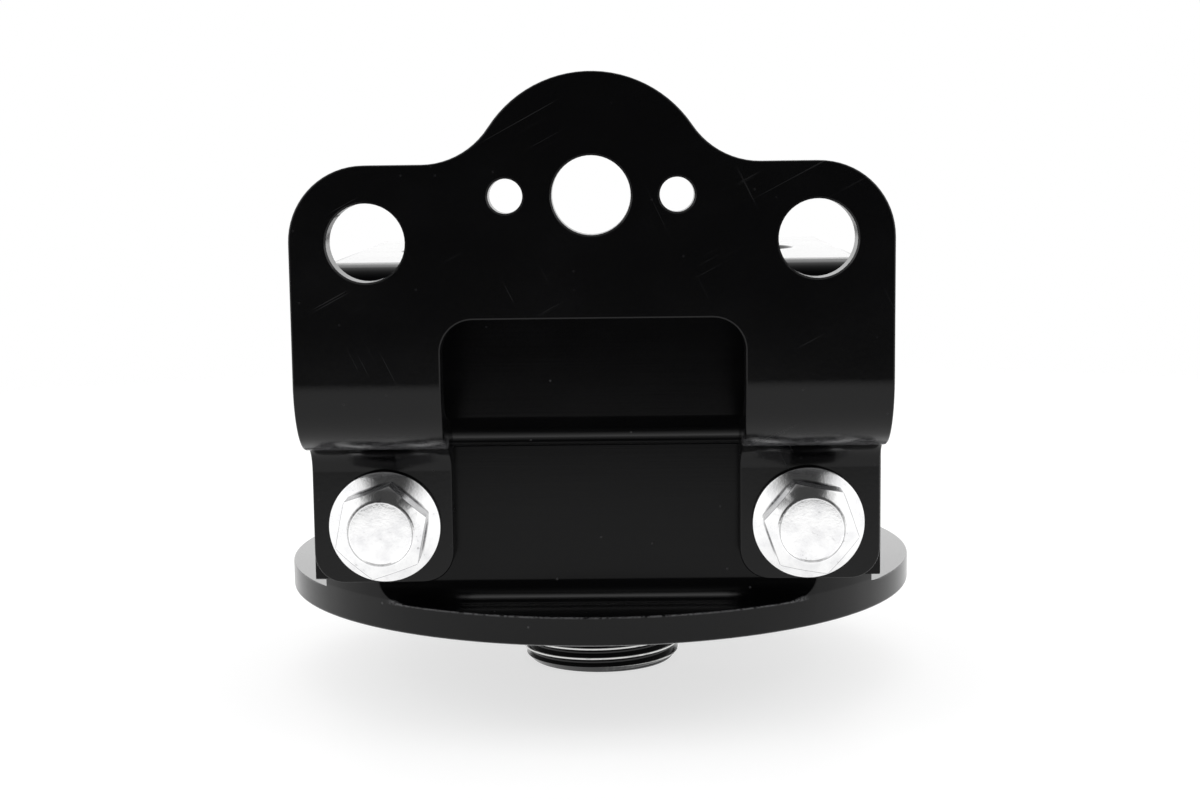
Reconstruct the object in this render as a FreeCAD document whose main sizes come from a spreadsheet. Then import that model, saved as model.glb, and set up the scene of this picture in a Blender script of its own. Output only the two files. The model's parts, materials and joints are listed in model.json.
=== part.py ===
"""Remote head for a spin-on filter, bolted to a joggled plate bracket.

Millimetres, +Z up.  The origin is the centre of the gasket face, on the axis of the filter.
The bracket stands in front of the block, on the -Y side.
"""
import FreeCAD, Part
import os
import re
import Sketcher

DIMENSIONS = {
    # filter head: turned flange with a milled block on top
    "flange_dia": 101.6,
    "rim_height": 4.3,
    "lip_fillet": 3.3,
    "block_width": 83.4,
    "block_depth": 78.2,
    "block_top": 54.0,
    "step_height": 27.4,
    "step_radius": 3.7,
    "top_round": 3.3,
    "rim_break": 0.3,
    "channel_inner_dia": 33.0,
    "channel_outer_dia": 72.0,
    "channel_depth": 5.0,
    "boss_recess": 0.5,
    # ports and oil ways
    "port_spacing": 44.0,
    "port_tap_dia": 18.6,
    "port_tap_depth": 20.0,
    "port_mouth": 0.9,
    "inlet_drill_dia": 14.0,
    "outlet_drill_dia": 15.0,
    "outlet_floor": 21.0,
    "centre_bore_dia": 20.0,
    "centre_bore_top": 34.0,
    "gallery_height": 27.0,
    "gallery_dia": 11.0,
    "plug_dia": 13.2,
    "plug_length": 9.0,
    "plug_recess": 0.6,
    "plug_socket_flats": 6.0,
    "plug_socket_depth": 4.5,
    # nipple that the filter screws on
    "nipple_dia": 25.9,
    "nipple_seat_dia": 24.8,
    "nipple_bore": 19.0,
    "nipple_drop": 14.3,
    "nipple_grip": 18.0,
    "nipple_lead": 1.2,
    # bolts that hold the bracket
    "bolt_spacing": 61.3,
    "bolt_height": 16.4,
    "bolt_dia": 8.0,
    "bolt_length": 20.0,
    "bolt_hole_clearance": 0.5,
    "bolt_tap_spare": 3.0,
    "bolt_flange_dia": 16.3,
    "bolt_flange_edge": 1.0,
    "bolt_flange_rise": 0.9,
    "bolt_flats": 12.0,
    "bolt_head": 6.4,
    "bolt_crown_dia": 10.0,
    "bolt_crown_drop": 0.9,
    "bolt_twist_left": 19.0,
    "bolt_twist_right": 49.4,
    # bracket, bent from one strip of plate
    "plate_thickness": 4.2,
    "bracket_width": 82.1,
    "front_bend": 6.4,
    "rear_bend": 4.0,
    "web_height": 28.3,
    "tab_foot": 8.0,
    "shoulder_height": 68.45,
    "shoulder_radius": 10.4,
    "hump_radius": 16.55,
    "hump_fillet": 11.0,
    "slot_width": 41.6,
    "slot_top": 47.4,
    "slot_radius": 4.5,
    "tab_radius": 4.3,
    "mount_spacing": 61.2,
    "mount_height": 58.0,
    "eye_height": 64.1,
    "mount_hole_dia": 10.7,
    "pin_spacing": 23.2,
    "pin_hole_dia": 4.7,
    "hole_break": 0.25,
    # how far a cutting shape stands past what it cuts
    "overrun": 1.0,
}

# places that several pieces share, written once from the sizes above
SHELF = "(rim_height + lip_fillet)"
PAD = "(-block_depth / 2)"
TAB_FRONT = f"({PAD} - plate_thickness)"
BEND_LINE = f"({TAB_FRONT} - rear_bend)"
PLATE_BACK = f"({BEND_LINE} - front_bend)"
PLATE_FRONT = f"({PLATE_BACK} - plate_thickness)"
BEND_TOP = "(web_height + plate_thickness + front_bend)"
BEND_FOOT = "(web_height - rear_bend)"
REACH = "(flange_dia / 2 + block_width)"

START, END, CENTRE = 1, 2, 3
TOLERANCE = 0.01

doc = FreeCAD.newDocument("filter_mount")
sheet = doc.addObject("Spreadsheet::Sheet", "dims")
for row, (alias, value) in enumerate(DIMENSIONS.items(), start=1):
    sheet.set(f"A{row}", alias)
    sheet.set(f"B{row}", str(value))
    sheet.setAlias(f"B{row}", alias)
doc.recompute()

WORDS = re.compile(r"\b(" + "|".join(DIMENSIONS) + r")\b")


def linked(expression):
    """An expression on the sizes, as the other objects of the document read it."""
    return WORDS.sub(r"dims.\1", expression)


def number(expression):
    """The present value of an expression on the sizes."""
    return float(sheet.evalExpression(linked(expression)))


def bind(owner, path, expression):
    """Tie a property to an expression on the sizes."""
    owner.setExpression(path, linked(expression))


# ---- sketches -------------------------------------------------------------------------

def new_sketch(body, name, role, offset="0"):
    """A sketch on an origin plane of its own body, moved along the plane's normal."""
    sketch = body.newObject("Sketcher::SketchObject", name)
    plane = next(feature for feature in body.Origin.OriginFeatures if feature.Role == role)
    sketch.AttachmentSupport = [(plane, "")]
    sketch.MapMode = "FlatFace"
    bind(sketch, "AttachmentOffset.Base.z", offset)
    return sketch


def hold(sketch, kind, expression, *places):
    """Add a dimension to a sketch and tie it to the sizes."""
    index = sketch.addConstraint(Sketcher.Constraint(kind, *places, number(expression)))
    bind(sketch, f"Constraints[{index}]", expression)


def circle(sketch, across, up, diameter):
    """A circle placed and sized by expressions."""
    centre = FreeCAD.Vector(number(across), number(up), 0)
    ring = sketch.addGeometry(Part.Circle(centre, FreeCAD.Vector(0, 0, 1), number(diameter) / 2))
    hold(sketch, "DistanceX", across, -1, 1, ring, CENTRE)
    hold(sketch, "DistanceY", up, -1, 1, ring, CENTRE)
    hold(sketch, "Radius", f"({diameter}) / 2", ring)


def outline(sketch, corners, arcs=None):
    """A closed outline through corners.

    arcs maps the number of a corner to (centre across, centre up, held), for a round
    stretch from that corner to the next one; held is the coordinate that fixes its end.
    """
    arcs = arcs or {}
    points = [FreeCAD.Vector(number(across), number(up), 0) for across, up in corners]
    stretches = []
    for index, start in enumerate(points):
        end = points[(index + 1) % len(points)]
        if index in arcs:
            centre = FreeCAD.Vector(number(arcs[index][0]), number(arcs[index][1]), 0)
            forward = (start - centre).cross(end - centre).z > 0
            first, last = (start, end) if forward else (end, start)
            ring = Part.Circle(centre, FreeCAD.Vector(0, 0, 1), (start - centre).Length)
            arc = Part.ArcOfCircle(ring, ring.parameter(first), ring.parameter(last))
            stretches.append((sketch.addGeometry(arc), *((START, END) if forward else (END, START))))
        else:
            stretches.append((sketch.addGeometry(Part.LineSegment(start, end)), START, END))
    for index, (across, up) in enumerate(corners):
        before, _, before_end = stretches[index - 1]
        after, after_start, _ = stretches[index]
        sketch.addConstraint(Sketcher.Constraint("Coincident", before, before_end, after, after_start))
        held = arcs[(index - 1) % len(corners)][2] if (index - 1) % len(corners) in arcs else "both"
        if held in ("both", "across"):
            hold(sketch, "DistanceX", across, -1, 1, after, after_start)
        if held in ("both", "up"):
            hold(sketch, "DistanceY", up, -1, 1, after, after_start)
    for index, (across, up, _) in arcs.items():
        hold(sketch, "DistanceX", across, -1, 1, stretches[index][0], CENTRE)
        hold(sketch, "DistanceY", up, -1, 1, stretches[index][0], CENTRE)


def rectangle(sketch, left, right, bottom, top):
    """A rectangle between four expressions."""
    outline(sketch, [(left, bottom), (right, bottom), (right, top), (left, top)])


# ---- features -------------------------------------------------------------------------

def feature(body, kind, name, sketch, length, backwards=False):
    """A pad or a pocket of a sketch; it has to change the body's volume."""
    doc.recompute()
    before = body.Shape.Volume if body.Shape and not body.Shape.isNull() else 0.0
    made = body.newObject(f"PartDesign::{kind}", name)
    made.Profile = sketch
    made.Reversed = backwards
    bind(made, "Length", length)
    doc.recompute()
    change = body.Shape.Volume - before
    wanted = change > 0 if kind == "Pad" else change < 0
    if not wanted:
        raise RuntimeError(f"{name} changed nothing")
    return made


def dress(body, kind, name, size, wanted):
    """A fillet or a chamfer on every edge of the body that a test picks."""
    doc.recompute()
    edges = [f"Edge{n}" for n, edge in enumerate(body.Shape.Edges, start=1) if wanted(edge)]
    if not edges:
        raise RuntimeError(f"{name} found no edges")
    base = body.Tip
    made = body.newObject(f"PartDesign::{kind}", name)
    made.Base = (base, edges)
    bind(made, "Radius" if kind == "Fillet" else "Size", size)
    doc.recompute()
    if "Invalid" in made.State:
        raise RuntimeError(f"{name} failed")
    return made


def near(value, expression):
    """Whether a value is that of an expression on the sizes."""
    return abs(value - number(expression)) < TOLERANCE


def along(edge, axis):
    """Whether an edge is straight and runs along an axis, x, y or z."""
    if not isinstance(edge.Curve, Part.Line):
        return False
    return abs(abs(getattr(edge.Curve.Direction, axis)) - 1) < TOLERANCE


def at(edge, **places):
    """Whether the middle of an edge lies at the given coordinates, sides not told apart in x."""
    middle = edge.CenterOfMass
    return all(
        near(abs(middle.x) if axis == "x" else getattr(middle, axis), expression)
        for axis, expression in places.items()
    )


def ring_of(edge, diameter):
    """Whether an edge is part of a circle of a diameter."""
    return isinstance(edge.Curve, Part.Circle) and near(2 * edge.Curve.Radius, diameter)


# ---- filter head ----------------------------------------------------------------------

def make_head():
    """The machined block with its round flange, ports and oil ways."""
    body = doc.addObject("PartDesign::Body", "filter_head")
    disc = new_sketch(body, "flange_outline", "XY_Plane")
    circle(disc, "0", "0", "flange_dia")
    feature(body, "Pad", "flange", disc, SHELF)
    box = new_sketch(body, "block_outline", "XY_Plane", SHELF)
    rectangle(box, "-block_width / 2", "block_width / 2", PAD, "block_depth / 2")
    feature(body, "Pad", "block", box, f"block_top - {SHELF}")
    cut_flange_top(body)
    cut_front_step(body)
    break_block_edges(body)
    cut_underside(body)
    cut_ports(body)
    cut_bolt_holes(body)
    return body


def cut_flange_top(body):
    """Lower the flange to its rim height around the block, with a fillet front and back."""
    for name, side in (("front", "-1"), ("back", "1")):
        face = f"({side} * block_depth / 2)"
        centre = f"({side} * (block_depth / 2 + lip_fillet))"
        outside = f"({side} * {REACH})"
        lip = new_sketch(body, f"{name}_lip", "YZ_Plane", REACH)
        outline(
            lip,
            [(face, SHELF), (centre, "rim_height"), (outside, "rim_height"), (outside, SHELF)],
            {0: (centre, SHELF, "across")},
        )
        feature(body, "Pocket", f"{name}_relief", lip, f"2 * {REACH}")
    for name, side in (("left", "-1"), ("right", "1")):
        ledge = new_sketch(body, f"{name}_ledge", "XZ_Plane", REACH)
        inner = f"({side} * block_width / 2)"
        outer = f"({side} * {REACH})"
        rectangle(ledge, inner, outer, "rim_height", SHELF)
        feature(body, "Pocket", f"{name}_relief", ledge, f"2 * {REACH}")


def cut_front_step(body):
    """Set the upper part of the front face back behind the pad that the bracket sits on."""
    back = f"({PAD} + step_radius)"
    above = "(block_top + step_radius)"
    turn = "(step_height + step_radius)"
    outside = f"({PAD} - step_radius)"
    step = new_sketch(body, "front_step_outline", "YZ_Plane", REACH)
    outline(
        step,
        [(PAD, "step_height"), (back, turn), (back, above), (outside, above), (outside, "step_height")],
        {0: (PAD, turn, "up")},
    )
    feature(body, "Pocket", "front_step", step, f"2 * {REACH}")


def break_block_edges(body):
    """Round the top edges and break the edge of the gasket face."""
    dress(
        body, "Fillet", "top_edges", "top_round",
        lambda edge: near(edge.BoundBox.ZMin, "block_top") and near(edge.BoundBox.ZMax, "block_top"),
    )
    dress(
        body, "Chamfer", "rim_edge", "rim_break",
        lambda edge: ring_of(edge, "flange_dia") and near(edge.BoundBox.ZMax, "0"),
    )


def cut_underside(body):
    """The oil channel inside the gasket face and the bore that the nipple screws into."""
    channel = new_sketch(body, "channel_outline", "XY_Plane")
    circle(channel, "0", "0", "channel_outer_dia")
    circle(channel, "0", "0", "channel_inner_dia")
    feature(body, "Pocket", "oil_channel", channel, "channel_depth", backwards=True)
    boss = new_sketch(body, "boss_outline", "XY_Plane")
    circle(boss, "0", "0", "(channel_inner_dia + channel_outer_dia) / 2")
    feature(body, "Pocket", "boss_face", boss, "boss_recess", backwards=True)
    seat = new_sketch(body, "nipple_seat_outline", "XY_Plane")
    circle(seat, "0", "0", "nipple_seat_dia")
    feature(body, "Pocket", "nipple_seat", seat, "nipple_grip", backwards=True)
    bore = new_sketch(body, "centre_bore_outline", "XY_Plane")
    circle(bore, "0", "0", "centre_bore_dia")
    feature(body, "Pocket", "centre_bore", bore, "centre_bore_top", backwards=True)


def cut_ports(body):
    """Two ports in the top: one feeds the channel, the other leads back from the nipple."""
    taps = new_sketch(body, "port_taps", "XY_Plane", "block_top")
    circle(taps, "-port_spacing / 2", "0", "port_tap_dia")
    circle(taps, "port_spacing / 2", "0", "port_tap_dia")
    feature(body, "Pocket", "ports", taps, "port_tap_depth")
    inlet = new_sketch(body, "inlet_drill_outline", "XY_Plane", "block_top")
    circle(inlet, "port_spacing / 2", "0", "inlet_drill_dia")
    feature(body, "Pocket", "inlet_drill", inlet, "block_top - channel_depth")
    outlet = new_sketch(body, "outlet_drill_outline", "XY_Plane", "block_top")
    circle(outlet, "-port_spacing / 2", "0", "outlet_drill_dia")
    feature(body, "Pocket", "outlet_drill", outlet, "block_top - outlet_floor")
    gallery = new_sketch(body, "gallery_outline", "YZ_Plane", "-block_width / 2")
    circle(gallery, "0", "gallery_height", "gallery_dia")
    feature(body, "Pocket", "cross_gallery", gallery, "block_width / 2", backwards=True)
    seat = new_sketch(body, "plug_seat_outline", "YZ_Plane", "-block_width / 2")
    circle(seat, "0", "gallery_height", "plug_dia")
    feature(body, "Pocket", "plug_seat", seat, "plug_recess + plug_length", backwards=True)
    dress(
        body, "Chamfer", "port_mouths", "port_mouth",
        lambda edge: ring_of(edge, "port_tap_dia") and near(edge.BoundBox.ZMin, "block_top"),
    )


def cut_bolt_holes(body):
    """The two tapped holes in the front pad."""
    taps = new_sketch(body, "bolt_tap_outline", "XZ_Plane", f"-{PAD}")
    circle(taps, "-bolt_spacing / 2", "bolt_height", "bolt_dia")
    circle(taps, "bolt_spacing / 2", "bolt_height", "bolt_dia")
    feature(body, "Pocket", "bolt_taps", taps, "bolt_length - plate_thickness + bolt_tap_spare")


# ---- nipple and plug ------------------------------------------------------------------

def make_nipple():
    """The hollow stub that the filter screws on.

    Its thread is drawn as plain: at its crests outside the head, and at its middle depth inside.
    """
    body = doc.addObject("PartDesign::Body", "filter_nipple")
    wall = new_sketch(body, "nipple_wall", "XZ_Plane")
    outer, inner, tip = "nipple_dia / 2", "nipple_bore / 2", "(nipple_dia / 2 - nipple_lead)"
    seated, seated_tip = "nipple_seat_dia / 2", "(nipple_seat_dia / 2 - nipple_lead)"
    outline(
        wall,
        [
            (inner, "-nipple_drop"),
            (tip, "-nipple_drop"),
            (outer, "-nipple_drop + nipple_lead"),
            (outer, "0"),
            (seated, "0"),
            (seated, "nipple_grip - nipple_lead"),
            (seated_tip, "nipple_grip"),
            (inner, "nipple_grip"),
        ],
    )
    turned = body.newObject("PartDesign::Revolution", "nipple_tube")
    turned.Profile = wall
    turned.ReferenceAxis = (wall, ["V_Axis"])
    turned.Angle = 360
    doc.recompute()
    return body


def cylinder(name, diameter, height, foot="0"):
    """An upright cylinder whose foot stands at a height."""
    made = doc.addObject("Part::Cylinder", name)
    bind(made, "Radius", f"({diameter}) / 2")
    bind(made, "Height", height)
    bind(made, "Placement.Base.z", foot)
    return made


def cone(name, wide, narrow, height, foot):
    """An upright cone that narrows from its foot."""
    made = doc.addObject("Part::Cone", name)
    bind(made, "Radius1", f"({wide}) / 2")
    bind(made, "Radius2", f"({narrow}) / 2")
    bind(made, "Height", height)
    bind(made, "Placement.Base.z", foot)
    return made


def hexagon(name, flats, height, foot="0", twist="0"):
    """An upright six-sided prism measured across its flats, turned by a twist in degrees."""
    made = doc.addObject("Part::Prism", name)
    made.Polygon = 6
    made.Placement.Rotation = FreeCAD.Rotation(FreeCAD.Vector(0, 0, 1), number(twist))
    bind(made, "Circumradius", f"({flats}) / sqrt(3)")
    bind(made, "Height", height)
    bind(made, "Placement.Base.z", foot)
    return made


def make_plug():
    """The screw plug that closes the end of the cross gallery, with its hexagon socket."""
    blank = cylinder("plug_blank", "plug_dia", "plug_length")
    socket = hexagon("plug_socket", "plug_socket_flats", "plug_socket_depth + overrun",
                     "plug_length - plug_socket_depth")
    plug = doc.addObject("Part::Cut", "gallery_plug")
    plug.Base = blank
    plug.Tool = socket
    plug.Placement.Rotation = FreeCAD.Rotation(FreeCAD.Vector(0, 1, 0), -90)
    bind(plug, "Placement.Base.x", "-block_width / 2 + plug_recess + plug_length")
    bind(plug, "Placement.Base.z", "gallery_height")
    return plug


# ---- bracket --------------------------------------------------------------------------

def make_bracket():
    """The plate: upright face, joggle and two tabs, with a rounded hump and one open slot."""
    body = doc.addObject("PartDesign::Body", "mounting_bracket")
    strip = new_sketch(body, "bent_strip", "YZ_Plane", "-bracket_width / 2")
    outline(
        strip,
        [
            (PLATE_FRONT, "shoulder_height"),
            (PLATE_FRONT, BEND_TOP),
            (BEND_LINE, "web_height"),
            (TAB_FRONT, BEND_FOOT),
            (TAB_FRONT, "tab_foot"),
            (PAD, "tab_foot"),
            (PAD, BEND_FOOT),
            (BEND_LINE, "web_height + plate_thickness"),
            (PLATE_BACK, BEND_TOP),
            (PLATE_BACK, "shoulder_height"),
        ],
        {
            1: (BEND_LINE, BEND_TOP, "across"),
            2: (BEND_LINE, BEND_FOOT, "up"),
            6: (BEND_LINE, BEND_FOOT, "across"),
            7: (BEND_LINE, BEND_TOP, "up"),
        },
    )
    feature(body, "Pad", "strip", strip, "bracket_width")
    hump = new_sketch(body, "hump_outline", "XZ_Plane", f"-{PLATE_BACK}")
    circle(hump, "0", "eye_height", "2 * hump_radius")
    feature(body, "Pad", "hump", hump, "plate_thickness")
    slot = new_sketch(body, "slot_outline", "XZ_Plane", f"-{PLATE_FRONT} + overrun")
    rectangle(slot, "-slot_width / 2", "slot_width / 2", "tab_foot - overrun", "slot_top")
    feature(body, "Pocket", "slot", slot, f"{PAD} - {PLATE_FRONT} + 2 * overrun")
    round_bracket(body)
    drill_bracket(body)
    return body


def round_bracket(body):
    """Round the corners of the outline."""
    meeting = "sqrt(hump_radius ^ 2 - (shoulder_height - eye_height) ^ 2)"
    rounds = (
        ("hump_roots", "hump_fillet", meeting, "shoulder_height"),
        ("shoulders", "shoulder_radius", "bracket_width / 2", "shoulder_height"),
        ("slot_corners", "slot_radius", "slot_width / 2", "slot_top"),
        ("outer_tab_corners", "tab_radius", "bracket_width / 2", "tab_foot"),
        ("inner_tab_corners", "tab_radius", "slot_width / 2", "tab_foot"),
    )
    for name, radius, across, up in rounds:
        dress(
            body, "Fillet", name, radius,
            lambda edge, across=across, up=up: along(edge, "y") and at(edge, x=across, z=up),
        )


def drill_bracket(body):
    """The mounting holes in the upright face and the bolt holes in the tabs."""
    face = new_sketch(body, "face_holes", "XZ_Plane", f"-{PLATE_FRONT} + overrun")
    circle(face, "-mount_spacing / 2", "mount_height", "mount_hole_dia")
    circle(face, "mount_spacing / 2", "mount_height", "mount_hole_dia")
    circle(face, "0", "eye_height", "mount_hole_dia")
    circle(face, "-pin_spacing / 2", "eye_height", "pin_hole_dia")
    circle(face, "pin_spacing / 2", "eye_height", "pin_hole_dia")
    feature(body, "Pocket", "face_drilling", face, "plate_thickness + 2 * overrun")
    tabs = new_sketch(body, "tab_holes", "XZ_Plane", f"-{TAB_FRONT} + overrun")
    circle(tabs, "-bolt_spacing / 2", "bolt_height", "bolt_dia + 2 * bolt_hole_clearance")
    circle(tabs, "bolt_spacing / 2", "bolt_height", "bolt_dia + 2 * bolt_hole_clearance")
    feature(body, "Pocket", "tab_drilling", tabs, "plate_thickness + 2 * overrun")
    dress(
        body, "Chamfer", "hole_edges", "hole_break",
        lambda edge: ring_of(edge, "mount_hole_dia") or ring_of(edge, "pin_hole_dia"),
    )


# ---- bolts ----------------------------------------------------------------------------

def make_bolt(side_name, side, twist):
    """A flanged hexagon bolt, built upright and laid into its tab."""
    def named(part):
        return f"{side_name}_{part}"

    corners = "2 * bolt_flats / sqrt(3)"
    barrel = cylinder(named("barrel"), corners, "bolt_head - bolt_crown_drop")
    crown = cone(named("crown"), corners, "bolt_crown_dia", "bolt_crown_drop", "bolt_head - bolt_crown_drop")
    envelope = doc.addObject("Part::Fuse", named("envelope"))
    envelope.Base = barrel
    envelope.Tool = crown
    flats = hexagon(named("flats"), "bolt_flats", "bolt_head", "0", twist)
    head = doc.addObject("Part::Common", named("head"))
    head.Base = flats
    head.Tool = envelope
    rim = cylinder(named("rim"), "bolt_flange_dia", "bolt_flange_edge")
    slope = cone(named("slope"), "bolt_flange_dia", "bolt_flats", "bolt_flange_rise", "bolt_flange_edge")
    shank = cylinder(named("shank"), "bolt_dia", "bolt_length + bolt_flange_edge", "-bolt_length")
    bolt = doc.addObject("Part::MultiFuse", f"bracket_bolt_{side_name}")
    bolt.Shapes = [head, rim, slope, shank]
    bolt.Placement.Rotation = FreeCAD.Rotation(FreeCAD.Vector(1, 0, 0), 90)
    bind(bolt, "Placement.Base.x", f"{side} * bolt_spacing / 2")
    bind(bolt, "Placement.Base.y", TAB_FRONT)
    bind(bolt, "Placement.Base.z", "bolt_height")
    return bolt


# ---- the whole mount ------------------------------------------------------------------

def write_parts(parts):
    """Check the document and each sub-part, then write one file for each."""
    doc.recompute()
    failed = [item.Name for item in doc.Objects if {"Invalid", "Error"} & set(item.State)]
    if failed:
        raise RuntimeError(f"failed objects: {failed}")
    for part in parts:
        if part.Shape.isNull() or not part.Shape.isValid():
            raise RuntimeError(f"{part.Label} has no valid shape")
    os.makedirs("parts", exist_ok=True)
    for part in parts:
        part.Shape.exportStep(f"parts/{part.Label}.step")
        box = part.Shape.BoundBox
        print(f"{part.Label}: {len(part.Shape.Solids)} solid, {part.Shape.Volume:.0f} mm3, "
              f"x {box.XMin:.1f}..{box.XMax:.1f} y {box.YMin:.1f}..{box.YMax:.1f} "
              f"z {box.ZMin:.1f}..{box.ZMax:.1f}")


write_parts([
    make_head(),
    make_nipple(),
    make_plug(),
    make_bracket(),
    make_bolt("left", "-1", "bolt_twist_left"),
    make_bolt("right", "1", "bolt_twist_right"),
])
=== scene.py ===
"""Looks of a remote filter head on its bent plate bracket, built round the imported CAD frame.

Metres, +Z up.  The origin is the centre of the gasket face, on the axis of the filter, and the
bracket stands in front of the block, on the -Y side.  The head stands on the end of its nipple.
"""
import json
import logging
import math
from dataclasses import dataclass, field
from enum import Enum
from typing import Any, Callable, Sequence, Union

import bpy
from mathutils import Matrix, Vector

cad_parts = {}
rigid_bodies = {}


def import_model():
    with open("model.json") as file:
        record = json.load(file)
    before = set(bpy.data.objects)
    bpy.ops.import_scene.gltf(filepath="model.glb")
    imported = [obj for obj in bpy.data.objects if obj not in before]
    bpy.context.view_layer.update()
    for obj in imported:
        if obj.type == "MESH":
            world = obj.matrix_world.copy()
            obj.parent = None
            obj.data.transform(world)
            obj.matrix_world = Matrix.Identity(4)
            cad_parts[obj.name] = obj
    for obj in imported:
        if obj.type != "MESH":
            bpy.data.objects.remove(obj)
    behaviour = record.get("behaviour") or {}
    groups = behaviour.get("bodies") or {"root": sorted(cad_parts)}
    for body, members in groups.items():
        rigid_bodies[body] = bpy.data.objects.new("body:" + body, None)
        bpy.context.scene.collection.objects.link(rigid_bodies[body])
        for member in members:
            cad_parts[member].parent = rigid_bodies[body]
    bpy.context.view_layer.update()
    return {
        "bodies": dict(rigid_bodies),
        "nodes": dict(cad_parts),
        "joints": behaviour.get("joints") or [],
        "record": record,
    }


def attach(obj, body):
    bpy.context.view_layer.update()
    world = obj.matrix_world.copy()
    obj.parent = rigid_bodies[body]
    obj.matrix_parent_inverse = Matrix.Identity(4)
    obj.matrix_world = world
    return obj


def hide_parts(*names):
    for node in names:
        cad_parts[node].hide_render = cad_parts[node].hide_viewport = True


logging.basicConfig(level=logging.INFO, format="%(name)s: %(message)s")
log = logging.getLogger("filter_mount")

MM = 0.001
POINT_GAP = 1e-6
FACETS = 96
Number = Union[float, "Signal"]
Point = Sequence[float]
Colour = tuple[float, float, float, float]


# ---- shader sums ----------------------------------------------------------------------

class Signal:
    """A value that changes over a surface, on which sums are written as plain Python."""

    def __init__(self, bench: "Bench", socket: bpy.types.NodeSocket) -> None:
        """Wrap one output socket of a node."""
        self.bench = bench
        self.socket = socket

    def __add__(self, other: Number) -> "Signal":
        """Sum of two values."""
        return self.bench.maths("ADD", self, other)

    __radd__ = __add__

    def __sub__(self, other: Number) -> "Signal":
        """This value less another."""
        return self.bench.maths("SUBTRACT", self, other)

    def __rsub__(self, other: Number) -> "Signal":
        """Another value less this one."""
        return self.bench.maths("SUBTRACT", other, self)

    def __mul__(self, other: Number) -> "Signal":
        """Product of two values."""
        return self.bench.maths("MULTIPLY", self, other)

    __rmul__ = __mul__

    def __pow__(self, other: Number) -> "Signal":
        """This value to a power."""
        return self.bench.maths("POWER", self, other)

    def __abs__(self) -> "Signal":
        """The value without its sign."""
        return self.bench.maths("ABSOLUTE", self, 0.0)

    def rising(self, low: float, high: float) -> "Signal":
        """A mask that goes smoothly from 0 at low to 1 at high.

        Args:
            low: value at which the mask leaves 0.
            high: value at which the mask reaches 1.

        Returns:
            The mask, which stays within 0 and 1.
        """
        ramp = self.bench.node(
            "ShaderNodeMapRange",
            {"interpolation_type": "SMOOTHSTEP", "clamp": True},
            {"Value": self, "From Min": low, "From Max": high},
        )
        return Signal(self.bench, ramp.outputs["Result"])

    def falling(self, low: float, high: float) -> "Signal":
        """A mask that goes smoothly from 1 at low to 0 at high."""
        return 1.0 - self.rising(low, high)


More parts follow.
